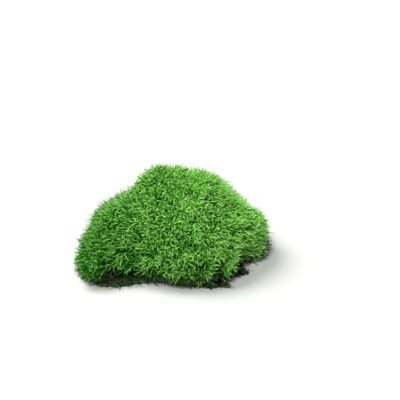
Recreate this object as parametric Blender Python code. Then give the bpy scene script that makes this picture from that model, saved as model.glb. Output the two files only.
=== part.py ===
"""A clump of cushion moss, lifted with the mat of dead stems that it grew on.

Metres, +Z up. The clump rests on z = 0, its front faces -Y, and the origin is
under the middle of it. Two pieces: the green cushion, whose surface is where
the leaf tips are, and the dark mat below it, cut off flat.
"""

import math
import random

import bmesh
import bpy
from mathutils import Vector, noise

# The dome of the cushion, before its lobes and tufts
HALF_WIDTH = 0.0810
FRONT_REACH = 0.0610
BACK_REACH = 0.0740
CROWN_HEIGHT = 0.0770
WAIST_HEIGHT = 0.0170
SKIRT_HEIGHT = 0.0036
SKIRT_TURN = math.radians(114)
SKIRT_LOWEST = 0.0027

# The hollow under the cushion, which the mat fills
HOLLOW_HEIGHT = 0.0110
SKIRT_THICKNESS = 0.11
GAP = 0.0003
FLAT = 1e-6

# Lobes and valleys of the cushion: name, azimuth and elevation in degrees as
# seen from its middle, angular radius in degrees, and how far they stand out.
# Azimuth 0 is +X, the right side, and -90 is the front.
LOBES = (
    ("crown", -95, 76, 30, 0.0040),
    ("crown_left", 164, 76, 13, 0.0112),
    ("crown_right", 20, 62, 13, 0.0030),
    ("left_saddle", 160, 52, 19, -0.0205),
    ("left_shoulder", 174, 28, 14, -0.0030),
    ("left_hollow", 178, 6, 13, -0.0120),
    ("left_foot", -145, 5, 16, 0.0145),
    ("left_toe", -134, 0, 8, 0.0165),
    ("left_valley", -128, 30, 17, -0.0040),
    ("front_arch", -118, 2, 13, -0.0060),
    ("front_belly", -80, 14, 18, 0.0030),
    ("front_right_foot", -54, 4, 13, 0.0045),
    ("right_notch", -32, 0, 12, -0.0150),
    ("right_flank", 8, 12, 17, 0.0060),
    ("right_slope", 20, 34, 16, -0.0080),
    ("right_valley", -38, 44, 15, -0.0030),
    ("back_right_lobe", 50, 18, 20, 0.0055),
    ("back_valley", 84, 30, 14, -0.0040),
    ("back_left_slope", 128, 36, 24, -0.0060),
    ("back_left_lobe", 112, 12, 20, 0.0050),
)

# Where the skirt is lifted and the mat shows: name, azimuth, angular radius, rise
ARCHES = (
    ("front_arch", -122, 10, 0.0115),
    ("belly_arch", -102, 12, 0.0105),
    ("right_notch", -36, 9, 0.0130),
    ("right_foot", -62, 9, 0.0030),
    ("back_arch", 92, 12, 0.0060),
)

# The grid that the cushion is drawn on: a sphere whose lower cap becomes the underside
SPHERE_CUTS = 18
SPHERE_SHAKE = 0.030
UNDERSIDE_START = math.radians(142)

# Tufts: the shoots stand in pointed bunches that lean down the slope
TUFT_RELIEF = 0.0042
TUFT_SPREAD = 0.0011
TUFT_LEAN = 0.0013
TUFT_DROOP = 0.5
SWELL_SIZE = 0.018
SWELL_RELIEF = 0.0017
TUFT_SEED = 4

# The mat of dead stems and litter. Its rings run from the top edge to the cut
# base. Each has a reach, as a share of the skirt's own, where the skirt is low and
# where it is lifted, and then a height for each of the two.
MAT_SEGMENTS = 96
MAT_RINGS = (
    (0.770, 0.820, HOLLOW_HEIGHT - GAP, HOLLOW_HEIGHT - GAP),
    (0.830, 0.940, 0.0060, 0.0080),
    (0.900, 0.990, 0.0020, 0.0042),
    (0.955, 1.030, 0.0017, 0.0020),
    (0.945, 1.015, 0.0, 0.0),
)
MAT_LIP_RING = 3
MAT_FRAY = 0.040
MAT_FRAY_SCALE = 17.0
MAT_RING_TURN = 12.0
STEM_RELIEF = 0.0012
FULL_ARCH = 0.0115

# Where stems of the mat stick out past the skirt, or stand back: name, azimuth,
# angular radius, reach
MAT_TONGUES = (
    ("front_tuft", -65, 7, 0.0105),
    ("front_tuft_tip", -57, 3, 0.0150),
    ("arch_apron", -121, 9, 0.0145),
    ("belly_hollow", -98, 8, -0.0085),
    ("belly_apron", -77, 8, 0.0045),
    ("notch_apron", -35, 8, 0.0185),
    ("back_apron", 96, 9, 0.0050),
)

MOSS_GREEN = (0.085, 0.270, 0.030, 1.0)
MAT_DARK = (0.012, 0.017, 0.011, 1.0)


def clear_scene():
    for item in list(bpy.data.objects):
        bpy.data.objects.remove(item, do_unlink=True)


def matte_material(name, colour, roughness):
    material = bpy.data.materials.new(name)
    material.use_nodes = True
    shader = material.node_tree.nodes["Principled BSDF"]
    shader.inputs["Base Color"].default_value = colour
    shader.inputs["Roughness"].default_value = roughness
    shader.inputs["Metallic"].default_value = 0.0
    return material


def smooth_step(low, high, value):
    """Goes smoothly from 0 at low to 1 at high."""
    t = min(1.0, max(0.0, (value - low) / (high - low)))
    return t * t * (3.0 - 2.0 * t)


def bell(distance, radius):
    """1 at no distance, and falling away over the radius."""
    return math.exp(-((distance / radius) ** 2))


def turn_between(a, b):
    """The unsigned angle between two azimuths, in degrees."""
    return abs((a - b + 180.0) % 360.0 - 180.0)


def direction(azimuth, elevation):
    turn, lift = math.radians(azimuth), math.radians(elevation)
    return Vector((math.cos(turn) * math.cos(lift), math.sin(turn) * math.cos(lift), math.sin(lift)))


def around(places, azimuth):
    """The sum of the named places' heights at this azimuth."""
    return sum(height * bell(turn_between(azimuth, at), radius) for _, at, radius, height in places)


def lobe_swell(towards):
    """How far the lobes move the surface out, in this direction from the middle."""
    return sum(
        height * bell(math.degrees(towards.angle(direction(azimuth, elevation))), radius)
        for _, azimuth, elevation, radius, height in LOBES
    )


def dome_point(azimuth, drop):
    """A point of the smooth dome: drop is 0 at the crown, and 1 at the skirt's lower edge."""
    angle = drop * SKIRT_TURN
    reach, lift = math.sin(angle), math.cos(angle)
    across, along = math.cos(math.radians(azimuth)), math.sin(math.radians(azimuth))
    depth = BACK_REACH if along > 0.0 else FRONT_REACH
    if lift >= 0.0:
        height = WAIST_HEIGHT + (CROWN_HEIGHT - WAIST_HEIGHT) * lift
    else:
        edge = SKIRT_HEIGHT + around(ARCHES, azimuth)
        height = WAIST_HEIGHT - (WAIST_HEIGHT - edge) * lift / math.cos(SKIRT_TURN)
    outward = Vector((reach * across, reach * along, max(0.0, lift)))
    swell = lobe_swell(outward.normalized())
    return Vector((HALF_WIDTH * reach * across, depth * reach * along, height)) + swell * outward


def underside_point(azimuth, inward):
    """A point under the cushion: inward is 0 at the skirt's edge, and 1 on the middle line."""
    edge = dome_point(azimuth, 1.0)
    rise = smooth_step(0.0, SKIRT_THICKNESS, inward)
    height = edge.z + (HOLLOW_HEIGHT - edge.z) * rise
    return Vector((edge.x * (1.0 - inward), edge.y * (1.0 - inward), height))


def cushion_point(on_sphere):
    azimuth = math.degrees(math.atan2(on_sphere.y, on_sphere.x))
    tilt = math.acos(min(1.0, max(-1.0, on_sphere.z)))
    if tilt <= UNDERSIDE_START:
        return dome_point(azimuth, tilt / UNDERSIDE_START)
    return underside_point(azimuth, (tilt - UNDERSIDE_START) / (math.pi - UNDERSIDE_START))


def even_sphere(cuts, shake, rng):
    """A cube's grid blown up to a unit sphere, with its corners shaken along the surface."""
    mesh = bmesh.new()
    bmesh.ops.create_cube(mesh, size=2.0)
    bmesh.ops.subdivide_edges(mesh, edges=mesh.edges[:], cuts=cuts, use_grid_fill=True)
    for vertex in mesh.verts:
        even = Vector([math.tan(part * math.pi / 4.0) for part in vertex.co]).normalized()
        aside = Vector([rng.uniform(-shake, shake) for _ in range(3)])
        vertex.co = (even + aside).normalized()
    return mesh


def raise_tufts(mesh, faces, rng):
    """Makes each face a pointed bunch of shoots that leans down the slope."""
    tips = bmesh.ops.poke(mesh, faces=faces, offset=TUFT_RELIEF, center_mode="MEAN")["verts"]
    mesh.normal_update()
    for tip in tips:
        normal = tip.normal.copy()
        steepness = math.hypot(normal.x, normal.y)
        downhill = Vector((normal.x, normal.y, -TUFT_DROOP * steepness))
        tip.co += normal * rng.uniform(-TUFT_SPREAD, TUFT_SPREAD)
        tip.co += downhill * TUFT_LEAN
        aside = [rng.uniform(-TUFT_SPREAD, TUFT_SPREAD) for _ in range(2)]
        tip.co += Vector((*aside, 0.0))
        tip.co.z = max(tip.co.z, SKIRT_LOWEST)


def build_cushion():
    rng = random.Random(TUFT_SEED)
    mesh = even_sphere(SPHERE_CUTS, SPHERE_SHAKE, rng)
    cap_height = math.cos(UNDERSIDE_START)
    leafy = [face for face in mesh.faces if face.calc_center_median().z > cap_height]
    under = [face for face in mesh.faces if face.calc_center_median().z <= cap_height]
    for vertex in mesh.verts:
        vertex.co = cushion_point(vertex.co)
    mesh.normal_update()
    for vertex in {vertex for face in leafy for vertex in face.verts}:
        vertex.co += vertex.normal * SWELL_RELIEF * noise.noise(vertex.co / SWELL_SIZE)
        vertex.co.z = max(vertex.co.z, SKIRT_LOWEST)
    raise_tufts(mesh, leafy, rng)
    ceiling = [face for face in under if all(abs(v.co.z - HOLLOW_HEIGHT) < FLAT for v in face.verts)]
    bmesh.ops.dissolve_faces(mesh, faces=ceiling, use_verts=True)
    return mesh


def mat_point(azimuth, ring):
    """A point of the mat's side, on the ring of this number."""
    low_reach, lifted_reach, low_height, lifted_height = MAT_RINGS[ring]
    edge = dome_point(azimuth, 1.0)
    lifted = min(1.0, around(ARCHES, azimuth) / FULL_ARCH)
    reach = low_reach + (lifted_reach - low_reach) * lifted
    height = low_height + (lifted_height - low_height) * lifted
    outward = Vector((edge.x, edge.y, 0.0))
    raised = Vector((0.0, 0.0, height))
    if ring < MAT_LIP_RING:
        return outward * reach + raised
    fray = MAT_FRAY * noise.noise(direction(azimuth, MAT_RING_TURN * ring) * MAT_FRAY_SCALE)
    tongue = around(MAT_TONGUES, azimuth)
    return outward * (reach + fray) + outward.normalized() * tongue + raised


def build_mat():
    mesh = bmesh.new()
    bmesh.ops.create_cone(
        mesh, cap_ends=True, segments=MAT_SEGMENTS, radius1=1.0, radius2=1.0, depth=2.0
    )
    uprights = [edge for edge in mesh.edges if abs(edge.verts[0].co.z - edge.verts[1].co.z) > 1.0]
    bmesh.ops.subdivide_edges(mesh, edges=uprights, cuts=len(MAT_RINGS) - 2)
    for vertex in mesh.verts:
        azimuth = math.degrees(math.atan2(vertex.co.y, vertex.co.x))
        ring = round((1.0 - vertex.co.z) / 2.0 * (len(MAT_RINGS) - 1))
        vertex.co = mat_point(azimuth, ring)
    lowest, highest = SKIRT_LOWEST, MAT_RINGS[0][2] - FLAT
    sides = [face for face in mesh.faces if lowest < face.calc_center_median().z < highest]
    sides = [face for face in sides if max(vertex.co.z for vertex in face.verts) < highest]
    bmesh.ops.poke(mesh, faces=sides, offset=STEM_RELIEF, center_mode="MEAN")
    return mesh


def centre_over_origin(meshes):
    """Moves the pieces together until the middle of the clump is over the origin."""
    across = [vertex.co.x for mesh in meshes for vertex in mesh.verts]
    along = [vertex.co.y for mesh in meshes for vertex in mesh.verts]
    middle = Vector((0.5 * (min(across) + max(across)), 0.5 * (min(along) + max(along)), 0.0))
    for mesh in meshes:
        bmesh.ops.translate(mesh, verts=mesh.verts[:], vec=-middle)


def add_part(name, mesh, material, collection):
    bmesh.ops.recalc_face_normals(mesh, faces=mesh.faces[:])
    data = bpy.data.meshes.new(name)
    mesh.to_mesh(data)
    mesh.free()
    data.materials.append(material)
    part = bpy.data.objects.new(name, data)
    collection.objects.link(part)
    return part


def main():
    clear_scene()
    collection = bpy.data.collections.new("moss_clump")
    bpy.context.scene.collection.children.link(collection)
    green = matte_material("moss_green", MOSS_GREEN, 0.65)
    dark = matte_material("dead_stem_dark", MAT_DARK, 0.9)
    cushion, mat = build_cushion(), build_mat()
    centre_over_origin((cushion, mat))
    add_part("moss_cushion", cushion, green, collection)
    add_part("dead_stem_mat", mat, dark, collection)


main()
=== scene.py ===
"""A clump of cushion moss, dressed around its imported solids.

Metres, +Z up, front towards -Y. Leafy shoots and packed stems stand for the cushion. A frayed
skin, stray stems and old dead shoots stand for the mat of dead stems below it.
"""

import math
import random
from functools import partial

import bmesh
import bpy
from bpy.props import FloatProperty, FloatVectorProperty, IntProperty, PointerProperty
from mathutils import Matrix, Vector, noise


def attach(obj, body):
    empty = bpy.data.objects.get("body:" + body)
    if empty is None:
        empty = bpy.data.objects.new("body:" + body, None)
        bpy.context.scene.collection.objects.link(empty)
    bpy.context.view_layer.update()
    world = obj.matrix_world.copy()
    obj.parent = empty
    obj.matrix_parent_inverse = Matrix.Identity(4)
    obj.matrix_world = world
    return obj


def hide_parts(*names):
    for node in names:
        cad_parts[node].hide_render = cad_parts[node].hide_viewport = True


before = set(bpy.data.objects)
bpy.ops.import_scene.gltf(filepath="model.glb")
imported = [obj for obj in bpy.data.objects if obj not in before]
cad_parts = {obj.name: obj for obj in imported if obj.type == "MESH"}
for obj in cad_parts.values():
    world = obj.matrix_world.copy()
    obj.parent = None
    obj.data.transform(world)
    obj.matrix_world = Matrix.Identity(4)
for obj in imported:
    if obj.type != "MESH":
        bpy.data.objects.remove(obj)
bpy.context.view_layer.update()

bl_info = {
    "name": "Moss clump",
    "version": (1, 0, 0),
    "blender": (4, 5, 0),
    "location": "3D View > Sidebar > Moss clump",
    "description": "Dresses a clump of cushion moss with leafy shoots, packed stems and a frayed mat",
    "category": "Add Mesh",
}

CUSHION, MAT = "moss_cushion", "dead_stem_mat"
MAP = "OFBake"


def linear(hex_colour):
    """An sRGB hex colour as linear red, green, blue and alpha."""
    parts = [int(hex_colour[i : i + 2], 16) / 255.0 for i in (1, 3, 5)]
    return (*[p / 12.92 if p <= 0.04045 else ((p + 0.055) / 1.055) ** 2.4 for p in parts], 1.0)


def colour(name, description, hex_colour):
    return FloatVectorProperty(
        name=name, description=description, default=linear(hex_colour), size=4, subtype="COLOR"
    )


def length(name, description, default):
    return FloatProperty(name=name, description=description, default=default, unit="LENGTH")


def angle(name, description, degrees):
    return FloatProperty(
        name=name, description=description, default=math.radians(degrees), subtype="ANGLE"
    )


def factor(name, description, default):
    return FloatProperty(
        name=name, description=description, default=default, min=0.0, max=1.0, subtype="FACTOR"
    )


def amount(name, description, default):
    return FloatProperty(name=name, description=description, default=default)


def count(name, description, default):
    return IntProperty(name=name, description=description, default=default)


class LeafSettings(bpy.types.PropertyGroup):
    leaf_length: length("Leaf length", "Length of a full-grown leaf", 0.0092)
    leaf_width: length("Leaf width", "Width of a leaf at its widest", 0.0010)
    stem_length: length("Leafy stem", "Length of the stem's end that carries live leaves", 0.0060)
    spacing: length("Shoot spacing", "Least distance between neighbouring shoots", 0.0036)
    leaves_per_shoot: count("Leaves per shoot", "Live leaves on one shoot", 12)
    shoot_kinds: count("Shoot kinds", "Number of differently grown shoots, an even one", 12)
    lean: amount("Lean", "How far shoots lean away from the clump's middle", 0.40)
    ruffle: amount("Ruffle", "How far each shoot strays from its neighbours", 0.36)
    whorl: amount("Whorl", "How far neighbouring shoots lie over together", 2.5)
    skirt_droop: amount("Skirt droop", "How far shoots near the ground hang down", 0.75)
    overhang: length("Overhang", "How far shoots near the ground reach past the rest", 0.004)
    unevenness: length("Unevenness", "How far shoots stand out or back", 0.0030)
    bareness: factor("Bareness", "How far gaps spread: nowhere at 0, everywhere at 1", 0.34)
    thinning: factor("Thinning", "How much farther gaps spread near the ground", 0.20)
    spread: angle("Spread", "Angle between a shoot and its lowest leaves", 75.0)
    closing: factor("Closing", "How much closer to the shoot its top leaves stand", 0.5)
    sweep: amount("Sweep", "How far the leaves of a shoot all curve to one side", 1.5)
    waviness: amount("Waviness", "How far each leaf curves its own way", 0.6)
    new_share: factor("New leaves", "Share of pale new leaves on a shoot", 0.62)
    greening: factor("Greening", "How much less pale the lowest leaves of a shoot are", 0.5)
    roughness: factor("Roughness", "Roughness of a leaf's wax", 0.6)
    sheen: factor("Wax sheen", "Strength of the reflection off a leaf's wax", 0.03)
    # Leaf colours from base to tip: the dark bases are painted shade deep among the shoots, and a new
    # leaf's pale tip is partly painted highlight
    old_base_painted_shade: colour("Old leaf base", "Where an old leaf clasps its stem", "#055a02")
    old_blade: colour("Old leaf blade", "Middle of an old leaf", "#0a7003")
    old_tip: colour("Old leaf tip", "Tip of an old leaf", "#16820c")
    new_base_painted_shade: colour("New leaf base", "Where a new leaf clasps its stem", "#128a04")
    new_blade: colour("New leaf blade", "Middle of a new leaf", "#8ae24c")
    new_tip_painted_highlight: colour("New leaf tip", "Tip of a new leaf", "#deffb8")


class BedSettings(bpy.types.PropertyGroup):
    depth: length("Depth", "From the leaf tips down to the packed stems", 0.0105)
    moss_dark: colour("Packed stems", "Old leaves on the packed stems", "#087004")
    stem_dark: colour("Bare stems", "Bare stems between them", "#043c02")
    dead_dark: colour("Dead stems", "Dead stems near the ground", "#08100a")
    dead_height: length("Dead height", "Height up to which the packed stems are dead", 0.012)


class MatSettings(bpy.types.PropertyGroup):
    relief: length("Relief", "Height of the mat's lumps", 0.0011)
    lump: length("Lump size", "Distance between the mat's lumps", 0.0035)
    stem_length: length("Stray stem length", "Length of a dead stem", 0.0110)
    stem_width: length("Stray stem width", "Thickness of a dead stem", 0.0007)
    spacing: length("Stray stem spacing", "Least distance between stray stems", 0.0020)
    shoot_spacing: length("Dead shoot spacing", "Least distance between dead shoots", 0.0036)
    dark: colour("Wet litter", "Darkest parts of the mat", "#0b140f")
    pale: colour("Dry stems", "Palest dead stems", "#587848")


class StageSettings(bpy.types.PropertyGroup):
    aim: FloatVectorProperty(
        name="Aim", description="Point the camera looks at", default=(0.02272, -0.00607, 0.0572),
        subtype="TRANSLATION", unit="LENGTH",
    )
    elevation: angle("Elevation", "Camera's height over the horizon", 25.0)
    distance: length("Distance", "From the camera to the point it looks at", 0.85)
    focal: FloatProperty(name="Lens", description="Focal length", default=85.0, unit="CAMERA")
    floor_size: length("Floor size", "Side of the floor", 6.0)
    floor_white: colour("Floor", "Matt white paper", "#d6d6d4")
    sky: amount("Sky", "Strength of the even light all round", 0.15)
    overhead: amount("Overhead light", "Strength of the broad light above", 3.1)
    front: amount("Front light", "Strength of the light from the front", 2.35)


MATH = "ShaderNodeMath"
VECTOR_MATH = "ShaderNodeVectorMath"
SEPARATE = "ShaderNodeSeparateXYZ"


def add_node(tree, kind, inputs=(), **settings):
    """Adds a node with its settings.

    Its inputs come in order or by their keys. Each is a value, a socket, or a node that stands for
    its first output.
    """
    node = tree.nodes.new(kind)
    for name, value in settings.items():
        setattr(node, name, value)
    keyed = inputs if isinstance(inputs, dict) else dict(enumerate(inputs))
    for key, value in keyed.items():
        if isinstance(value, bpy.types.Node):
            value = value.outputs[0]
        if isinstance(value, bpy.types.NodeSocket):
            tree.links.new(value, node.inputs[key])
        else:
            node.inputs[key].default_value = value
    return node


def principled(name, roughness, specular):
    """A material with a Principled BSDF, its node tree and that shader."""
    material = bpy.data.materials.new(name)
    material.use_nodes = True
    shader = material.node_tree.nodes["Principled BSDF"]
    shader.inputs["Roughness"].default_value = roughness
    shader.inputs["Specular IOR Level"].default_value = specular
    return material, material.node_tree, shader


def set_stops(ramp, stops):
    """Sets the colours along a colour ramp. The first two stops are its ends."""
    for place, _ in stops[2:]:
        ramp.elements.new(place)
    for element, (place, shade) in zip(ramp.elements, sorted(stops, key=lambda stop: stop[0])):
        element.position = place
        element.color = shade


# The tones at the left and right edges of a piece's map
LOWEST_TONE, HIGHEST_TONE = -0.7, 1.5


def map_place(tree):
    """A blade's tone, and the place along it, as its map holds them."""
    place = add_node(tree, "ShaderNodeUVMap", uv_map=MAP)
    parts = add_node(tree, SEPARATE, (place,)).outputs
    tone = add_node(
        tree, "ShaderNodeMapRange",
        {"Value": parts["X"], "To Min": LOWEST_TONE, "To Max": HIGHEST_TONE},
    )
    return tone, parts["Y"]


# How far along a leaf the colour of its middle lies
BLADE_MIDDLE = 0.45


def leaf_material(colours):
    """Living moss leaf: a thin waxy blade, darkened at its base with painted shade, paler where it is
    new; a new leaf's pale tip is partly painted highlight.
    """
    material, tree, shader = principled("living moss leaf", colours.roughness, colours.sheen)
    tone, along = map_place(tree)
    old = add_node(tree, "ShaderNodeValToRGB", (along,))
    set_stops(old.color_ramp, [
        (0.0, colours.old_base_painted_shade), (1.0, colours.old_tip), (BLADE_MIDDLE, colours.old_blade),
    ])
    new = add_node(tree, "ShaderNodeValToRGB", (along,))
    set_stops(new.color_ramp, [
        (0.0, colours.new_base_painted_shade), (1.0, colours.new_tip_painted_highlight), (BLADE_MIDDLE, colours.new_blade),
    ])
    blend = add_node(
        tree, "ShaderNodeMix", {0: tone, 6: old, 7: new}, data_type="RGBA", clamp_factor=True
    )
    tree.links.new(blend.outputs[2], shader.inputs["Base Color"])
    return material


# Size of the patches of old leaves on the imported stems, and of the fibres in the litter
STEM_GRAIN = 0.004
LITTER_GRAIN = 0.003


def packed_stem_material(colours):
    """Packed stems and old leaves deep in the cushion: dull, damp and dark green."""
    material, tree, shader = principled("packed moss stems", roughness=0.9, specular=0.05)
    place = add_node(tree, "ShaderNodeTexCoord").outputs["Object"]
    grain = add_node(
        tree, "ShaderNodeTexNoise", {"Vector": place, "Scale": 1.0 / STEM_GRAIN, "Detail": 3.0}
    )
    live = add_node(tree, "ShaderNodeValToRGB", (grain,))
    set_stops(live.color_ramp, [(0.35, colours.stem_dark), (0.65, colours.moss_dark)])
    # The stems turn from dead to live over as much height again as the dead ones have
    height = add_node(tree, SEPARATE, (place,)).outputs["Z"]
    alive = add_node(
        tree, "ShaderNodeMapRange",
        {"Value": height, "From Min": colours.dead_height, "From Max": 2.0 * colours.dead_height},
    )
    shade = add_node(
        tree, "ShaderNodeMix", {0: alive, 6: colours.dead_dark, 7: live}, data_type="RGBA"
    )
    tree.links.new(shade.outputs[2], shader.inputs["Base Color"])
    return material


def litter_material(colours):
    """Dead stems and litter: damp, matt and fibrous, nearly black with a green cast."""
    material, tree, shader = principled("dead moss litter", roughness=0.9, specular=0.1)
    place = add_node(tree, "ShaderNodeTexCoord").outputs["Object"]
    grain = add_node(
        tree, "ShaderNodeTexNoise", {"Vector": place, "Scale": 1.0 / LITTER_GRAIN, "Detail": 4.0}
    )
    shade = add_node(tree, "ShaderNodeValToRGB", (grain,))
    set_stops(shade.color_ramp, [(0.4, colours.dark), (0.75, colours.pale)])
    tree.links.new(shade.outputs["Color"], shader.inputs["Base Color"])
    return material


def dead_stem_material(colours):
    """Single dead stems: matt, dark to drab green, each with its own shade."""
    material, tree, shader = principled("dead moss stem", roughness=0.85, specular=0.1)
    tone, _ = map_place(tree)
    shade = add_node(tree, "ShaderNodeValToRGB", (tone,))
    set_stops(shade.color_ramp, [(0.1, colours.dark), (0.9, colours.pale)])
    tree.links.new(shade.outputs["Color"], shader.inputs["Base Color"])
    return material


def new_object(name, mesh):
    item = bpy.data.objects.new(name, mesh)
    bpy.context.scene.collection.objects.link(item)
    return item


def evaluated_mesh(item, name):
    """The item's mesh as its modifiers leave it; the item itself is removed."""
    seen = item.evaluated_get(bpy.context.evaluated_depsgraph_get())
    mesh = bpy.data.meshes.new_from_object(seen)
    mesh.name = name
    bpy.data.objects.remove(item, do_unlink=True)
    return mesh


# Corners of a CAD node's triangles that lie closer than this are one
MERGE_WITHIN = 1e-6
# How far each round of smoothing moves a corner towards its neighbours
IRON_STRENGTH = 0.5


def merged_copy(name, nodes):
    """One mesh of these CAD nodes, with the corners that touch merged."""
    whole = bmesh.new()
    for node in nodes:
        whole.from_mesh(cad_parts[node].data)
    bmesh.ops.remove_doubles(whole, verts=whole.verts[:], dist=MERGE_WITHIN)
    mesh = bpy.data.meshes.new(name)
    whole.to_mesh(mesh)
    whole.free()
    mesh.materials.clear()
    return mesh


def smoothed(name, nodes, voxel, rounds, inset=0.0):
    """These CAD nodes as one skin with their pointed tufts ironed out, moved in by the inset."""
    item = new_object(name, merged_copy(name, nodes))
    remesh = item.modifiers.new("Skin", "REMESH")
    remesh.mode = "VOXEL"
    remesh.voxel_size = voxel
    smooth = item.modifiers.new("Iron", "SMOOTH")
    smooth.factor = IRON_STRENGTH
    smooth.iterations = rounds
    if inset:
        shrink = item.modifiers.new("Inset", "DISPLACE")
        shrink.mid_level = 0.0
        shrink.strength = -inset
    return evaluated_mesh(item, name)


def without_faces(mesh, unwanted):
    """The same mesh, less the faces that the test picks."""
    faces = bmesh.new()
    faces.from_mesh(mesh)
    faces.normal_update()
    picked = [face for face in faces.faces if unwanted(face)]
    bmesh.ops.delete(faces, geom=picked, context="FACES")
    faces.to_mesh(mesh)
    faces.free()
    return mesh


def finish_piece(name, mesh, node):
    """Links a finished mesh as a piece that rides on the one body and stands for the node."""
    mesh.name = name
    mesh.shade_smooth()
    piece = new_object(name, mesh)
    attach(piece, "root")
    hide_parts(node)


# A blade's rings along its length: share of the length, and share of the full width
BLADE_RINGS = ((0.0, 0.6), (0.26, 1.0), (0.54, 0.96), (0.82, 0.66))
# Depth of a blade's keel, as a share of its width
KEEL = 0.38
# A blade's half width on its map, how much farther along the map its keel lies, and where it ends
MAP_HALF_WIDTH = 0.004
MAP_KEEL_SHIFT = 0.03
MAP_END = 0.99


def add_blade(mesh, layer, root, heading, side, pull, size, width, tone, age=1.0):
    """Adds one closed three-sided blade. It starts along its heading and is drawn over by the pull.

    Across its map lies its tone, and along it how pale it turns from a base darkened with painted shade
    towards its tip, which age limits.
    """
    steps = [*BLADE_RINGS, (1.0, 0.0)]
    rings, at, last = [], root.copy(), 0.0
    for share, wide in steps:
        step = share - last
        heading = (heading + pull * step).normalized()
        side = (side - heading * side.dot(heading)).normalized()
        facing = side.cross(heading)
        at = at + heading * size * step
        last = share
        half = 0.5 * width * wide
        if wide:
            rings.append([at - side * half, at + side * half, at - facing * 2.0 * half * KEEL])
        else:
            rings.append([at])
    rings = [[mesh.verts.new(place) for place in ring] for ring in rings]
    shifts = (-MAP_HALF_WIDTH, MAP_HALF_WIDTH, 0.0)
    spots = {}
    for (share, _), ring in zip(steps, rings):
        for corner, vertex in enumerate(ring):
            across = shifts[corner] if len(ring) > 1 else 0.0
            along = age * share + (MAP_KEEL_SHIFT if corner == 2 else 0.0)
            spots[vertex] = (tone + across, min(MAP_END, along))
    faces = [mesh.faces.new(reversed(rings[0]))]
    for low, high in zip(rings, rings[1:]):
        for i in range(3):
            j = (i + 1) % 3
            if len(high) > 1:
                faces.append(mesh.faces.new((low[i], low[j], high[j], high[i])))
            else:
                faces.append(mesh.faces.new((low[i], low[j], high[0])))
    for face in faces:
        for loop in face.loops:
            loop[layer].uv = spots[loop.vert]


def closed_mesh(name, mesh):
    """The finished mesh, with its faces pointing out."""
    bmesh.ops.recalc_face_normals(mesh, faces=mesh.faces[:])
    result = bpy.data.meshes.new(name)
    mesh.to_mesh(result)
    mesh.free()
    result.shade_smooth()
    return result


def leaning(spread, around):
    """A direction this far from +Z, towards this azimuth, and the direction across it."""
    side = Vector((-math.sin(around), math.cos(around), 0.0))
    return Matrix.Rotation(spread, 3, side) @ Vector((0.0, 0.0, 1.0)), side


def any_way(rng, most):
    """A random vector no longer than this along each axis."""
    return Vector([rng.uniform(-most, most) for _ in range(3)])


# From one leaf to the next round the stem
GOLDEN_TURN = math.radians(137.5)
# How far a leaf strays from its place up the stem, as a share of the step from leaf to leaf
STEP_STRAY = 0.6
# How far it strays round the stem, in radians, and from its spread, in degrees
TURN_STRAY = 0.4
SPREAD_STRAY = 12.0
# How strongly a leaf is drawn up along its stem
LEAF_LIFT = 0.15
# Least and most length and width, as shares of a full-grown leaf's
LEAF_SIZES = (0.70, 1.12)
LEAF_WIDTHS = (0.8, 1.15)
# New leaves at the stem's foot, as a share of those half way up
NEW_AT_FOOT = 0.5
# Least and most tone: 0 is the colour of an old leaf, and 1 of a new one
NEW_TONES = (0.65, 1.0)
OLD_TONES = (0.0, 0.3)


def shoot_mesh(name, settings, sweep, waviness, rng):
    """One shoot along +Z, its leaves in a spiral and all curved towards +X by the sweep."""
    mesh = bmesh.new()
    layer = mesh.loops.layers.uv.new(MAP)
    for number in range(settings.leaves_per_shoot):
        share = (number + rng.uniform(0.0, STEP_STRAY)) / settings.leaves_per_shoot
        fresh = rng.random() < settings.new_share * (NEW_AT_FOOT + share)
        spread = settings.spread * (1.0 - settings.closing * share)
        spread += math.radians(rng.uniform(-SPREAD_STRAY, SPREAD_STRAY))
        around = number * GOLDEN_TURN + rng.uniform(-TURN_STRAY, TURN_STRAY)
        heading, side = leaning(spread, around)
        add_blade(
            mesh, layer,
            root=Vector((0.0, 0.0, settings.stem_length * share)),
            heading=heading,
            side=side,
            pull=Vector((sweep, 0.0, LEAF_LIFT)) + any_way(rng, waviness),
            size=settings.leaf_length * rng.uniform(*LEAF_SIZES),
            width=settings.leaf_width * rng.uniform(*LEAF_WIDTHS),
            tone=rng.uniform(*(NEW_TONES if fresh else OLD_TONES)),
            # Lower leaves stop short of the pale end of the ramp, which keeps painted shade deep in the
            # shoot
            age=1.0 - settings.greening * (1.0 - share),
        )
    return closed_mesh(name, mesh)


# Least and most lean of a dead stem, and of the dead leaves off it, in degrees
DEAD_LEANS = (4.0, 14.0)
DEAD_LEAF_LEANS = (20.0, 55.0)
# Where the dead leaves sit, and how long they are, as shares of the stem
DEAD_LEAF_PLACES = (0.1, 0.7)
DEAD_LEAF_SIZE = 0.5
# Least and most length and width, as shares of the usual ones
DEAD_SIZES = (0.7, 1.1)
DEAD_WIDTHS = (0.7, 1.3)
# How strongly a stem or leaf is drawn to one side as it grows
CROOKEDNESS = 0.9
# Half way between the dark and the pale shade, and how far a stem strays from it
DEAD_TONE = 0.5
DEAD_TONE_STRAY = 0.2


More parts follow.
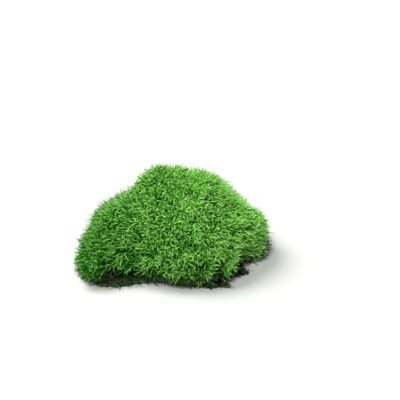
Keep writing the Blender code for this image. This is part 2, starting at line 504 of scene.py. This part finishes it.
def dead_stem_mesh(name, settings, leaves, rng):
    """One crooked dead stem, with this many shrivelled leaves left on it."""
    mesh = bmesh.new()
    layer = mesh.loops.layers.uv.new(MAP)
    for number in range(1 + leaves):
        is_stem = number == 0
        around = rng.uniform(0.0, 2.0 * math.pi)
        spread = math.radians(rng.uniform(*(DEAD_LEANS if is_stem else DEAD_LEAF_LEANS)))
        heading, side = leaning(spread, around)
        start = 0.0 if is_stem else settings.stem_length * rng.uniform(*DEAD_LEAF_PLACES)
        add_blade(
            mesh, layer,
            root=Vector((0.0, 0.0, start)),
            heading=heading,
            side=side,
            pull=any_way(rng, CROOKEDNESS),
            size=settings.stem_length * (1.0 if is_stem else DEAD_LEAF_SIZE) * rng.uniform(*DEAD_SIZES),
            width=settings.stem_width * rng.uniform(*DEAD_WIDTHS),
            tone=DEAD_TONE + rng.uniform(-DEAD_TONE_STRAY, DEAD_TONE_STRAY),
        )
    return closed_mesh(name, mesh)


def hidden_set(name, meshes):
    """A collection, out of the scene, with an object for each mesh."""
    group = bpy.data.collections.new(name)
    for mesh in meshes:
        group.objects.link(bpy.data.objects.new(mesh.name, mesh))
    return group


PLANT_INPUTS = (
    ("Geometry", "NodeSocketGeometry"),
    ("Shoots", "NodeSocketCollection"),
    ("Kinds", "NodeSocketInt"),
    ("Spacing", "NodeSocketFloat"),
    ("Depth", "NodeSocketFloat"),
    ("Unevenness", "NodeSocketFloat"),
    ("Lean", "NodeSocketFloat"),
    ("Droop", "NodeSocketFloat"),
    ("Skirt droop", "NodeSocketFloat"),
    ("Overhang", "NodeSocketFloat"),
    ("Ruffle", "NodeSocketFloat"),
    ("Whorl", "NodeSocketFloat"),
    ("Bareness", "NodeSocketFloat"),
    ("Thinning", "NodeSocketFloat"),
    # Painted light and shade: shoots paler to the right and up
    ("Sunny side", "NodeSocketVector"),
    ("From", "NodeSocketFloat"),
    ("To", "NodeSocketFloat"),
    ("Floor", "NodeSocketFloat"),
    ("Seed", "NodeSocketInt"),
    ("Material", "NodeSocketMaterial"),
)
# Shoots to a square metre before the spacing thins them
MOST_SHOOTS = 4.0e5
# Sizes of the patches in which shoots are missing, stand out, are pale, lie over and are turned
BARE_PATCH = 0.009
TUFT_PATCH = 0.006
TONE_PATCH = 0.022
WHORL_PATCH = 0.018
ROLL_PATCH = 0.012
# Which part of each pattern lies on the clump
WHORL_SHIFT = (0.144, -0.185, 0.178)
TONE_SHIFT = (-0.164, -0.064, 0.044)
BARE_SHIFT = (0.167, -0.064, 0.17)
# Heights over which the skirt and the thin growth near the ground fade out
SKIRT_REACH = 0.009
THIN_REACH = 0.03
# Least and most size of a shoot
SHOOT_SIZES = (0.84, 1.14)
# How much shorter shoots are on level ground, and how fast that fades as the ground tilts
LEVEL_SHORT = 0.28
LEVEL_POWER = 3.0
# How far a shoot stands out or back by itself, as a share of how far its tuft can
OWN_RISE = 0.6
# How far a shoot's tone strays by itself, and over how wide a range its patch's does
OWN_TONE = 0.12
PATCH_TONE = 0.4
# A place in the clump where the painted light leaves shoots neither paler nor darker
MIDDLE = (0.0, 0.0, 0.045)
# How shoots turn about their stems, in radians: over what range their patch does, how far each
# strays by itself, and how much farther it does so on level ground
PATCH_ROLL = 3.0
OWN_ROLL = 0.5
LEVEL_ROLL = 1.6
# Added to the way downhill, so that there is one in the very middle of the clump too
SLIGHT_RISE = (0.0, 0.0, 0.1)
# Share of swept shoots on level ground, and how much it grows as the ground gets steep
LEVEL_SWEPT = 0.15
STEEP_SWEPT = 1.4
# Just under one, so that the last kind's number stays below the number of kinds
BELOW_ONE = 0.999


class Shoot:
    """How a shoot grows from its spot on the ground, worked out by the nodes of a planting tree."""

    def __init__(self, tree, given, normal):
        self.add = partial(add_node, tree)
        self.given = given
        self.normal = normal
        self.place = self.add("GeometryNodeInputPosition")
        self.across = self.add(SEPARATE, (self.place,)).outputs
        flat = self.add(VECTOR_MATH, (self.place, (1.0, 1.0, 0.0)), operation="MULTIPLY")
        self.outward = self.add(VECTOR_MATH, (flat,), operation="NORMALIZE")
        upright = self.add(SEPARATE, (normal,)).outputs["Z"]
        self.level = self.add(MATH, (upright, 0.0), operation="MAXIMUM")
        tilt = self.add(MATH, (1.0, upright), operation="SUBTRACT")
        self.steep = self.add(MATH, (tilt, 0.0), operation="MAXIMUM")
        self.low = self.near_ground(SKIRT_REACH)

    def near_ground(self, reach):
        """One at the ground, and less and less above it, over about this reach."""
        ratio = self.add(MATH, (self.across["Z"], -reach), operation="DIVIDE")
        return self.add(MATH, (ratio,), operation="EXPONENT")

    def pattern(self, size, shift=(0.0, 0.0, 0.0), detail=2.0):
        """A pattern of patches of this size over the ground."""
        moved = self.add(VECTOR_MATH, (self.place, shift), operation="ADD")
        return self.add(
            "ShaderNodeTexNoise", {"Vector": moved, "Scale": 1.0 / size, "Detail": detail}
        )

    def chance(self, low, high, salt):
        """A random number for each shoot. The salt keeps it apart from the shoot's other ones."""
        seed = self.add(MATH, (self.given["Seed"], salt), operation="ADD")
        number = self.add(
            "FunctionNodeRandomValue", {2: low, 3: high, "Seed": seed}, data_type="FLOAT"
        )
        return number.outputs[1]

    def missing(self):
        """True where the spot lies outside the sector or in a bare patch."""
        azimuth = self.add(MATH, (self.across["Y"], self.across["X"]), operation="ARCTAN2")
        before = self.add(MATH, (azimuth, self.given["From"]), operation="LESS_THAN")
        after = self.add(MATH, (azimuth, self.given["To"]), operation="GREATER_THAN")
        outside = self.add(MATH, (before, after), operation="ADD")
        lower = self.near_ground(THIN_REACH)
        more = self.add(MATH, (lower, self.given["Thinning"]), operation="MULTIPLY")
        share = self.add(MATH, (self.given["Bareness"], more), operation="ADD")
        patch = self.pattern(BARE_PATCH, BARE_SHIFT, detail=3.0)
        bare = self.add(MATH, (patch, share), operation="LESS_THAN")
        return self.add(MATH, (outside, bare), operation="ADD")

    def heading(self):
        """Out of the ground and away from the clump's middle, with a droop, a stray and a whorl."""
        hang = self.add(MATH, (self.steep, self.given["Droop"]), operation="MULTIPLY")
        skirt = self.add(MATH, (self.low, self.given["Skirt droop"]), operation="MULTIPLY")
        drop = self.add(MATH, (hang, skirt), operation="ADD")
        stray = self.add(
            "FunctionNodeRandomValue",
            {0: (-1.0, -1.0, -1.0), 1: (1.0, 1.0, 1.0), "Seed": self.given["Seed"]},
            data_type="FLOAT_VECTOR",
        )
        shades = self.pattern(WHORL_PATCH, WHORL_SHIFT).outputs["Color"]
        swirl = self.add(VECTOR_MATH, (shades, (0.5, 0.5, 0.5)), operation="SUBTRACT")
        heading = self.normal
        for pull, strength in (
            (self.outward, self.given["Lean"]),
            ((0.0, 0.0, -1.0), drop),
            (stray, self.given["Ruffle"]),
            (swirl, self.given["Whorl"]),
        ):
            part = self.add(VECTOR_MATH, {0: pull, "Scale": strength}, operation="SCALE")
            heading = self.add(VECTOR_MATH, (heading, part), operation="ADD")
        return self.add(VECTOR_MATH, (heading,), operation="NORMALIZE")

    def size(self):
        """A size by chance, and shorter on level ground."""
        flatness = self.add(MATH, (self.level, LEVEL_POWER), operation="POWER")
        less = self.add(MATH, (flatness, LEVEL_SHORT), operation="MULTIPLY")
        kept = self.add(MATH, (1.0, less), operation="SUBTRACT")
        return self.add(MATH, (self.chance(*SHOOT_SIZES, salt=1), kept), operation="MULTIPLY")

    def sink(self, heading, size):
        """From the spot down to the shoot's root, with tufts that stand out or back."""
        doubled = self.add(MATH, (self.pattern(TUFT_PATCH), 2.0), operation="MULTIPLY")
        tuft = self.add(MATH, (doubled, 1.0), operation="SUBTRACT")
        rise = self.add(MATH, (self.chance(-OWN_RISE, OWN_RISE, salt=2), tuft), operation="ADD")
        lift = self.add(MATH, (rise, self.given["Unevenness"]), operation="MULTIPLY")
        over = self.add(MATH, (self.low, self.given["Overhang"]), operation="MULTIPLY")
        deep = self.add(MATH, (size, self.given["Depth"]), operation="MULTIPLY")
        reach = self.add(MATH, (over, deep), operation="SUBTRACT")
        along = self.add(VECTOR_MATH, {0: heading, "Scale": reach}, operation="SCALE")
        out = self.add(VECTOR_MATH, {0: self.normal, "Scale": lift}, operation="SCALE")
        return self.add(VECTOR_MATH, (along, out), operation="ADD")

    def tone(self):
        """How pale the shoot is: by chance, by its patch, and by painted light that pales it to the
        right and up.
        """
        own = self.add(MATH, (self.chance(-1.0, 1.0, salt=3), OWN_TONE), operation="MULTIPLY")
        centred = self.add(MATH, (self.pattern(TONE_PATCH, TONE_SHIFT), 0.5), operation="SUBTRACT")
        patch = self.add(MATH, (centred, PATCH_TONE), operation="MULTIPLY")
        varied = self.add(MATH, (own, patch), operation="ADD")
        # Painted light and shade: shoots pale to the right and up, and darken to the left and low down
        off = self.add(VECTOR_MATH, (self.place, MIDDLE), operation="SUBTRACT")
        painted_light = self.add(VECTOR_MATH, (off, self.given["Sunny side"]), operation="DOT_PRODUCT")
        return self.add(MATH, (varied, painted_light.outputs["Value"]), operation="ADD")

    def turn(self, heading):
        """Its stem up the heading and its sweep downhill, turned a little about the stem."""
        upended = self.add("FunctionNodeAlignRotationToVector", {"Vector": heading}, axis="Z")
        downhill = self.add(VECTOR_MATH, (self.outward, SLIGHT_RISE), operation="ADD")
        combed = self.add(
            "FunctionNodeAlignRotationToVector", {"Rotation": upended, "Vector": downhill},
            axis="X", pivot_axis="Z",
        )
        centred = self.add(MATH, (self.pattern(ROLL_PATCH), 0.5), operation="SUBTRACT")
        shared = self.add(MATH, (centred, PATCH_ROLL), operation="MULTIPLY")
        more = self.add(MATH, (self.level, LEVEL_ROLL), operation="MULTIPLY")
        most = self.add(MATH, (OWN_ROLL, more), operation="ADD")
        own = self.add(MATH, (self.chance(-1.0, 1.0, salt=4), most), operation="MULTIPLY")
        both = self.add(MATH, (shared, own), operation="ADD")
        roll = self.add(
            "FunctionNodeAxisAngleToRotation", {"Axis": (0.0, 0.0, 1.0), "Angle": both}
        )
        return self.add("FunctionNodeRotateRotation", (combed, roll), rotation_space="LOCAL")

    def kind(self):
        """The number of its kind. The first half stand on level ground, the second on steep."""
        half = self.add(MATH, (self.given["Kinds"], 0.5), operation="MULTIPLY")
        more = self.add(MATH, (self.steep, STEEP_SWEPT), operation="MULTIPLY")
        likely = self.add(MATH, (LEVEL_SWEPT, more), operation="ADD")
        swept = self.add(MATH, (self.chance(0.0, 1.0, salt=5), likely), operation="LESS_THAN")
        place = self.add(MATH, (self.chance(0.0, BELOW_ONE, salt=6), half), operation="MULTIPLY")
        start = self.add(MATH, (swept, half), operation="MULTIPLY")
        number = self.add(MATH, (place, start), operation="ADD")
        return self.add(MATH, (number,), operation="FLOOR")


def store(tree, points, fields):
    """Stores fields, by name, on the points. Gives the points, and each field as it is read back."""
    read = {}
    for name, (kind, value) in fields.items():
        points = add_node(
            tree, "GeometryNodeStoreNamedAttribute",
            {"Geometry": points, "Name": name, "Value": value}, data_type=kind, domain="POINT",
        )
        read[name] = add_node(
            tree, "GeometryNodeInputNamedAttribute", {"Name": name}, data_type=kind
        )
    return points, read


def toned_map(tree, blades, tone):
    """Moves each blade across its map by its shoot's tone.

    The whole range of tones fits inside the map, so that no blade lies past its edge.
    """
    place = add_node(
        tree, "GeometryNodeInputNamedAttribute", {"Name": MAP}, data_type="FLOAT_VECTOR"
    )
    parts = add_node(tree, SEPARATE, (place,)).outputs
    whole = add_node(tree, MATH, (parts["X"], tone), operation="ADD")
    above = add_node(tree, MATH, (whole, LOWEST_TONE), operation="SUBTRACT")
    across = add_node(tree, MATH, (above, HIGHEST_TONE - LOWEST_TONE), operation="DIVIDE")
    moved = add_node(tree, "ShaderNodeCombineXYZ", (across, parts["Y"]))
    return add_node(
        tree, "GeometryNodeStoreNamedAttribute", {"Geometry": blades, "Name": MAP, "Value": moved},
        data_type="FLOAT2", domain="CORNER",
    )


def bent_level(tree, blades, floor):
    """Bends blades level below the floor's height, so that they never reach the ground."""
    place = add_node(tree, "GeometryNodeInputPosition")
    parts = add_node(tree, SEPARATE, (place,)).outputs
    height = parts["Z"]
    ratio = add_node(tree, MATH, (height, floor), operation="DIVIDE")
    past = add_node(tree, MATH, (ratio, 1.0), operation="SUBTRACT")
    curve = add_node(tree, MATH, (past,), operation="EXPONENT")
    bent = add_node(tree, MATH, (floor, curve), operation="MULTIPLY")
    under = add_node(tree, MATH, (height, floor), operation="LESS_THAN")
    level = add_node(tree, "GeometryNodeSwitch", (under, height, bent), input_type="FLOAT")
    spread = add_node(tree, "ShaderNodeCombineXYZ", (parts["X"], parts["Y"], level))
    return add_node(tree, "GeometryNodeSetPosition", {"Geometry": blades, "Position": spread})


def planting_tree():
    """Plants shoots on a ground: their tips stand on it and their roots lie below it."""
    tree = bpy.data.node_groups.new("Plant shoots", "GeometryNodeTree")
    tree.is_modifier = True
    for name, kind in PLANT_INPUTS:
        tree.interface.new_socket(name, in_out="INPUT", socket_type=kind)
    tree.interface.new_socket("Geometry", in_out="OUTPUT", socket_type="NodeSocketGeometry")
    given = add_node(tree, "NodeGroupInput").outputs
    spots = add_node(
        tree, "GeometryNodeDistributePointsOnFaces",
        {
            "Mesh": given["Geometry"], "Distance Min": given["Spacing"],
            "Density Max": MOST_SHOOTS, "Seed": given["Seed"],
        },
        distribute_method="POISSON",
    )
    shoot = Shoot(tree, given, spots.outputs["Normal"])
    kept = add_node(
        tree, "GeometryNodeDeleteGeometry", {"Geometry": spots, "Selection": shoot.missing()},
        domain="POINT",
    )
    heading = shoot.heading()
    size = shoot.size()
    # Everything that reads the spot's own place is settled before the spot is moved
    points, read = store(tree, kept, {
        "tone": ("FLOAT", shoot.tone()),
        "turn": ("QUATERNION", shoot.turn(heading)),
        "size": ("FLOAT", size),
        "sink": ("FLOAT_VECTOR", shoot.sink(heading, size)),
        "kind": ("INT", shoot.kind()),
    })
    roots = add_node(tree, "GeometryNodeSetPosition", {"Geometry": points, "Offset": read["sink"]})
    kinds = add_node(
        tree, "GeometryNodeCollectionInfo",
        {"Collection": given["Shoots"], "Separate Children": True}, transform_space="ORIGINAL",
    )
    planted = add_node(
        tree, "GeometryNodeInstanceOnPoints",
        {
            "Points": roots, "Instance": kinds, "Pick Instance": True,
            "Instance Index": read["kind"], "Rotation": read["turn"], "Scale": read["size"],
        },
    )
    real = add_node(tree, "GeometryNodeRealizeInstances", (planted,))
    blades = toned_map(tree, real, read["tone"])
    for name in read:
        blades = add_node(
            tree, "GeometryNodeRemoveAttribute", {"Geometry": blades, "Name": name}
        )
    grounded = bent_level(tree, blades, given["Floor"])
    dressed = add_node(
        tree, "GeometryNodeSetMaterial", {"Geometry": grounded, "Material": given["Material"]}
    )
    add_node(tree, "NodeGroupOutput", (dressed,))
    return tree


def plant(name, ground, tree, values):
    """The mesh that the planting tree grows on this ground. Inputs without a value stay at nought."""
    item = new_object(name, ground.copy())
    grower = item.modifiers.new("Plant", "NODES")
    grower.node_group = tree
    inputs = {
        socket.name: socket.identifier for socket in tree.interface.items_tree
        if socket.in_out == "INPUT"
    }
    for key, value in values.items():
        grower[inputs[key]] = value
    return evaluated_mesh(item, name)


# Painted light and shade: how much paler shoots are for each metre to the right, to the back and up, so
# that the left side and the parts low down are darker
PAINTED_LIGHT_SLOPE = (4.4, 0.0, 4.6)
# How fine the cushion's skin is, how many rounds it is smoothed, and how far outside it the tips are
SKIN_VOXEL = 0.0025
SKIN_ROUNDS = 14
TIP_RISE = 0.0018
# Faces that look down more than this carry no live leaves
UNDERSIDE = -0.85
# The parts of the leaf coat, by azimuth in degrees, each small enough to be one piece
SECTORS = (
    ("back_right", 0.0, 60.0),
    ("back", 60.0, 120.0),
    ("back_left", 120.0, 180.0),
    ("front_left", -180.0, -120.0),
    ("front", -120.0, -60.0),
    ("front_right", -60.0, 0.0),
)
LEAF_SEED = 11
SHOOT_SEED = 7
# Share of a leaf's length that stands above the end of its stem
LEAF_RISE = 0.75
# Height below which live leaves bend level
LEAF_FLOOR = 0.0015
# Shares of the sweep and the waviness that shoots on level ground keep
LEVEL_SWEEP = 0.25
LEVEL_WAVINESS = 0.6


def leafy_ground():
    """The cushion's outer skin at the height of the leaf tips, without its underside."""
    ground = smoothed("leafy_ground", [CUSHION], SKIN_VOXEL, SKIN_ROUNDS, -TIP_RISE)
    return without_faces(ground, lambda face: face.normal.z < UNDERSIDE)


def live_shoots(settings):
    """The kinds of live shoot: the first half for level ground, the second half for steep."""
    rng = random.Random(SHOOT_SEED)
    half = settings.shoot_kinds // 2
    kinds = []
    for number in range(2 * half):
        level = number < half
        sweep = settings.sweep * (LEVEL_SWEEP if level else 1.0)
        waviness = settings.waviness * (LEVEL_WAVINESS if level else 1.0)
        kinds.append(shoot_mesh(f"shoot_{number:02}", settings, sweep, waviness, rng))
    return kinds


class MOSS_OT_leaves(bpy.types.Operator):
    """Grow the live shoots all over the cushion"""

    bl_idname = "moss_clump.leaves"
    bl_label = "Live leaves"

    def execute(self, context):
        settings = context.scene.moss_leaves
        kinds = live_shoots(settings)
        values = {
            "Shoots": hidden_set("shoot kinds", kinds),
            "Kinds": len(kinds),
            "Spacing": settings.spacing,
            "Depth": settings.stem_length + LEAF_RISE * settings.leaf_length,
            "Unevenness": settings.unevenness,
            "Lean": settings.lean,
            "Skirt droop": settings.skirt_droop,
            "Overhang": settings.overhang,
            "Ruffle": settings.ruffle,
            "Whorl": settings.whorl,
            "Bareness": settings.bareness,
            "Thinning": settings.thinning,
            # Painted light and shade: paler to the right and up
            "Sunny side": PAINTED_LIGHT_SLOPE,
            "Floor": LEAF_FLOOR,
            "Seed": LEAF_SEED,
            "Material": leaf_material(settings),
        }
        ground = leafy_ground()
        tree = planting_tree()
        for sector, start, stop in SECTORS:
            name = f"moss_leaves_{sector}"
            sides = {"From": math.radians(start), "To": math.radians(stop)}
            mesh = plant(name, ground, tree, {**values, **sides})
            finish_piece(name, mesh, CUSHION)
        return {"FINISHED"}


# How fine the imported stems' skin is, how many rounds it is smoothed, and how low it reaches
BED_VOXEL = 0.003
BED_ROUNDS = 10
BED_FLOOR = 0.001


class MOSS_OT_packed_stems(bpy.types.Operator):
    """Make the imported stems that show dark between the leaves"""

    bl_idname = "moss_clump.packed_stems"
    bl_label = "Packed stems"

    def execute(self, context):
        settings = context.scene.moss_bed
        mesh = smoothed("packed_stems", [CUSHION, MAT], BED_VOXEL, BED_ROUNDS, settings.depth)
        for vertex in mesh.vertices:
            vertex.co.z = max(vertex.co.z, BED_FLOOR)
        mesh.materials.append(packed_stem_material(settings))
        finish_piece("packed_stems", mesh, CUSHION)
        return {"FINISHED"}


# How fine the mat's skin is, and how many rounds it is smoothed
MAT_VOXEL = 0.0014
MAT_ROUNDS = 2
# The mat's finer lumps: how many there are to each coarse one, and how high they are beside it
FINE_LUMPS = 2.3
FINE_RELIEF = 0.5
# Faces of the mat that look down more than this, or lie higher than this, grow no stray stems
EDGE_UNDERSIDE = -0.6
EDGE_TOP = 0.010
# Dead shoots grow this far inside the cushion's skin, below this height, and only where the skin
# looks up less than this
SKIRT_INSET = 0.001
SKIRT_TOP = 0.013
SKIRT_LEVEL = 0.3
MAT_SEED = 3
DEAD_KINDS = 8
# Height below which dead stems bend level
DEAD_FLOOR = 0.002
# How stray stems and old dead shoots grow: the leaves left on each, the share of its stem that lies
# below the skin, and the rest of what the planting tree asks for
STRAY_LEAVES, STRAY_DEPTH = 2, 0.4
STRAY_HABIT = {"Unevenness": 0.0005, "Lean": 0.5, "Droop": 0.4, "Ruffle": 1.0, "Seed": 5}
OLD_LEAVES, OLD_DEPTH = 6, 0.5
OLD_HABIT = {"Unevenness": 0.001, "Lean": 0.8, "Droop": 0.2, "Ruffle": 0.7, "Seed": 9}


def litter_skin(settings):
    """The mat's skin, lumpy, and flat where it was cut."""
    mesh = smoothed("mat_core", [MAT], MAT_VOXEL, MAT_ROUNDS)
    outward = [normal.vector.copy() for normal in mesh.vertex_normals]
    for vertex, normal in zip(mesh.vertices, outward):
        lump = vertex.co / settings.lump
        height = noise.noise(lump) + FINE_RELIEF * noise.noise(FINE_LUMPS * lump)
        vertex.co += normal * settings.relief * height
        vertex.co.z = max(vertex.co.z, 0.0)
    return mesh


def mat_edge(skin):
    """The sides of the mat, where stray stems stick out."""
    return without_faces(
        skin,
        lambda face: face.normal.z < EDGE_UNDERSIDE or face.calc_center_median().z > EDGE_TOP,
    )


def skirt_ground():
    """The cushion's skin near the ground and under its lifted skirt."""
    ground = smoothed("skirt_ground", [CUSHION], SKIN_VOXEL, SKIN_ROUNDS, SKIRT_INSET)
    return without_faces(
        ground,
        lambda face: face.normal.z > SKIRT_LEVEL or face.calc_center_median().z > SKIRT_TOP,
    )


def plant_dead(name, ground, tree, kinds, values):
    """Plants these kinds of dead stem all round, and finishes them as a piece."""
    mesh = plant(name, ground, tree, {
        "Shoots": hidden_set(f"kinds of {name}", kinds), "Kinds": len(kinds),
        "From": -math.pi, "To": math.pi, "Floor": DEAD_FLOOR, **values,
    })
    finish_piece(name, mesh, MAT)


class MOSS_OT_mat(bpy.types.Operator):
    """Make the frayed mat of dead stems, its stray stems and the old dead shoots over it"""

    bl_idname = "moss_clump.mat"
    bl_label = "Mat of dead stems"

    def execute(self, context):
        settings = context.scene.moss_mat
        skin = litter_skin(settings)
        skin.materials.append(litter_material(settings))
        edge = mat_edge(skin.copy())
        finish_piece("dead_stem_litter", skin, MAT)
        rng = random.Random(MAT_SEED)
        tree = planting_tree()
        stem = dead_stem_material(settings)
        stray = [
            dead_stem_mesh(f"dead_stem_{number}", settings, STRAY_LEAVES, rng)
            for number in range(DEAD_KINDS)
        ]
        plant_dead("stray_stems", edge, tree, stray, {
            "Spacing": settings.spacing, "Depth": STRAY_DEPTH * settings.stem_length,
            "Material": stem, **STRAY_HABIT,
        })
        old = [
            dead_stem_mesh(f"dead_shoot_{number}", settings, OLD_LEAVES, rng)
            for number in range(DEAD_KINDS)
        ]
        plant_dead("dead_shoots", skirt_ground(), tree, old, {
            "Spacing": settings.shoot_spacing, "Depth": OLD_DEPTH * settings.stem_length,
            "Material": stem, **OLD_HABIT,
        })
        return {"FINISHED"}


# Where each light comes from: azimuth, with the front at -90, height and width, in degrees
OVERHEAD_FROM = (162.0, 57.0, 36.0)
FRONT_FROM = (-105.0, 50.0, 15.0)
# In millimetres
SENSOR_WIDTH = 36.0


def add_sun(name, strength, placing):
    """A soft light with this strength from this place."""
    turn, lift, width = [math.radians(degrees) for degrees in placing]
    lamp = bpy.data.lights.new(name, "SUN")
    lamp.energy = strength
    lamp.angle = width
    item = bpy.data.objects.new(name, lamp)
    level = Vector((math.cos(turn), math.sin(turn), 0.0))
    towards = level * math.cos(lift) + Vector((0.0, 0.0, math.sin(lift)))
    item.rotation_euler = towards.to_track_quat("Z", "Y").to_euler()
    bpy.context.scene.collection.objects.link(item)


def add_floor(settings):
    """A plain sheet of matt white paper, which takes the clump's shadow and is no part of it."""
    sheet = bmesh.new()
    bmesh.ops.create_grid(sheet, x_segments=1, y_segments=1, size=settings.floor_size / 2.0)
    mesh = bpy.data.meshes.new("floor")
    sheet.to_mesh(mesh)
    sheet.free()
    floor = new_object("floor", mesh)
    material, _, shader = principled("matt white paper", roughness=0.95, specular=0.1)
    shader.inputs["Base Color"].default_value = settings.floor_white
    mesh.materials.append(material)


def add_world(settings):
    """Even white light: dim, so that it casts soft shadows, but plain white to the camera."""
    world = bpy.data.worlds.new("even white light")
    world.use_nodes = True
    tree = world.node_tree
    seen = add_node(tree, "ShaderNodeLightPath").outputs["Is Camera Ray"]
    strength = add_node(
        tree, "ShaderNodeMapRange", {"Value": seen, "To Min": settings.sky, "To Max": 1.0}
    )
    back = tree.nodes["Background"]
    back.inputs["Color"].default_value = (1.0, 1.0, 1.0, 1.0)
    tree.links.new(strength.outputs["Result"], back.inputs["Strength"])
    bpy.context.scene.world = world


def add_camera(settings):
    """The camera, in front of the clump and above it."""
    scene = bpy.context.scene
    lens = bpy.data.cameras.new("camera")
    lens.lens = settings.focal
    lens.sensor_width = SENSOR_WIDTH
    camera = bpy.data.objects.new("camera", lens)
    back_off = Vector((0.0, -math.cos(settings.elevation), math.sin(settings.elevation)))
    camera.location = Vector(settings.aim) + back_off * settings.distance
    camera.rotation_euler = (-back_off).to_track_quat("-Z", "Y").to_euler()
    scene.collection.objects.link(camera)
    scene.camera = camera


class MOSS_OT_stage(bpy.types.Operator):
    """Set the floor, the soft light and the camera"""

    bl_idname = "moss_clump.stage"
    bl_label = "Stage"

    def execute(self, context):
        settings = context.scene.moss_stage
        add_floor(settings)
        add_world(settings)
        add_sun("overhead light", settings.overhead, OVERHEAD_FROM)
        add_sun("front light", settings.front, FRONT_FROM)
        add_camera(settings)
        context.scene.view_settings.view_transform = "Standard"
        return {"FINISHED"}


class MOSS_PT_panel(bpy.types.Panel):
    bl_label = "Moss clump"
    bl_idname = "MOSS_PT_panel"
    bl_space_type = "VIEW_3D"
    bl_region_type = "UI"
    bl_category = "Moss clump"

    def draw(self, context):
        for operator, group in STEPS:
            box = self.layout.box()
            settings = getattr(context.scene, group)
            for name in settings.__annotations__:
                box.prop(settings, name)
            box.operator(operator.bl_idname)


GROUPS = {
    "moss_leaves": LeafSettings,
    "moss_bed": BedSettings,
    "moss_mat": MatSettings,
    "moss_stage": StageSettings,
}
STEPS = (
    (MOSS_OT_packed_stems, "moss_bed"),
    (MOSS_OT_leaves, "moss_leaves"),
    (MOSS_OT_mat, "moss_mat"),
    (MOSS_OT_stage, "moss_stage"),
)
CLASSES = (*GROUPS.values(), *[operator for operator, _ in STEPS], MOSS_PT_panel)


def register():
    for kind in CLASSES:
        bpy.utils.register_class(kind)
    for name, group in GROUPS.items():
        setattr(bpy.types.Scene, name, PointerProperty(type=group))


def unregister():
    for name in GROUPS:
        delattr(bpy.types.Scene, name)
    for kind in reversed(CLASSES):
        bpy.utils.unregister_class(kind)


def main():
    register()
    bpy.ops.moss_clump.packed_stems()
    bpy.ops.moss_clump.leaves()
    bpy.ops.moss_clump.mat()
    bpy.ops.moss_clump.stage()


if __name__ == "__main__":
    main()
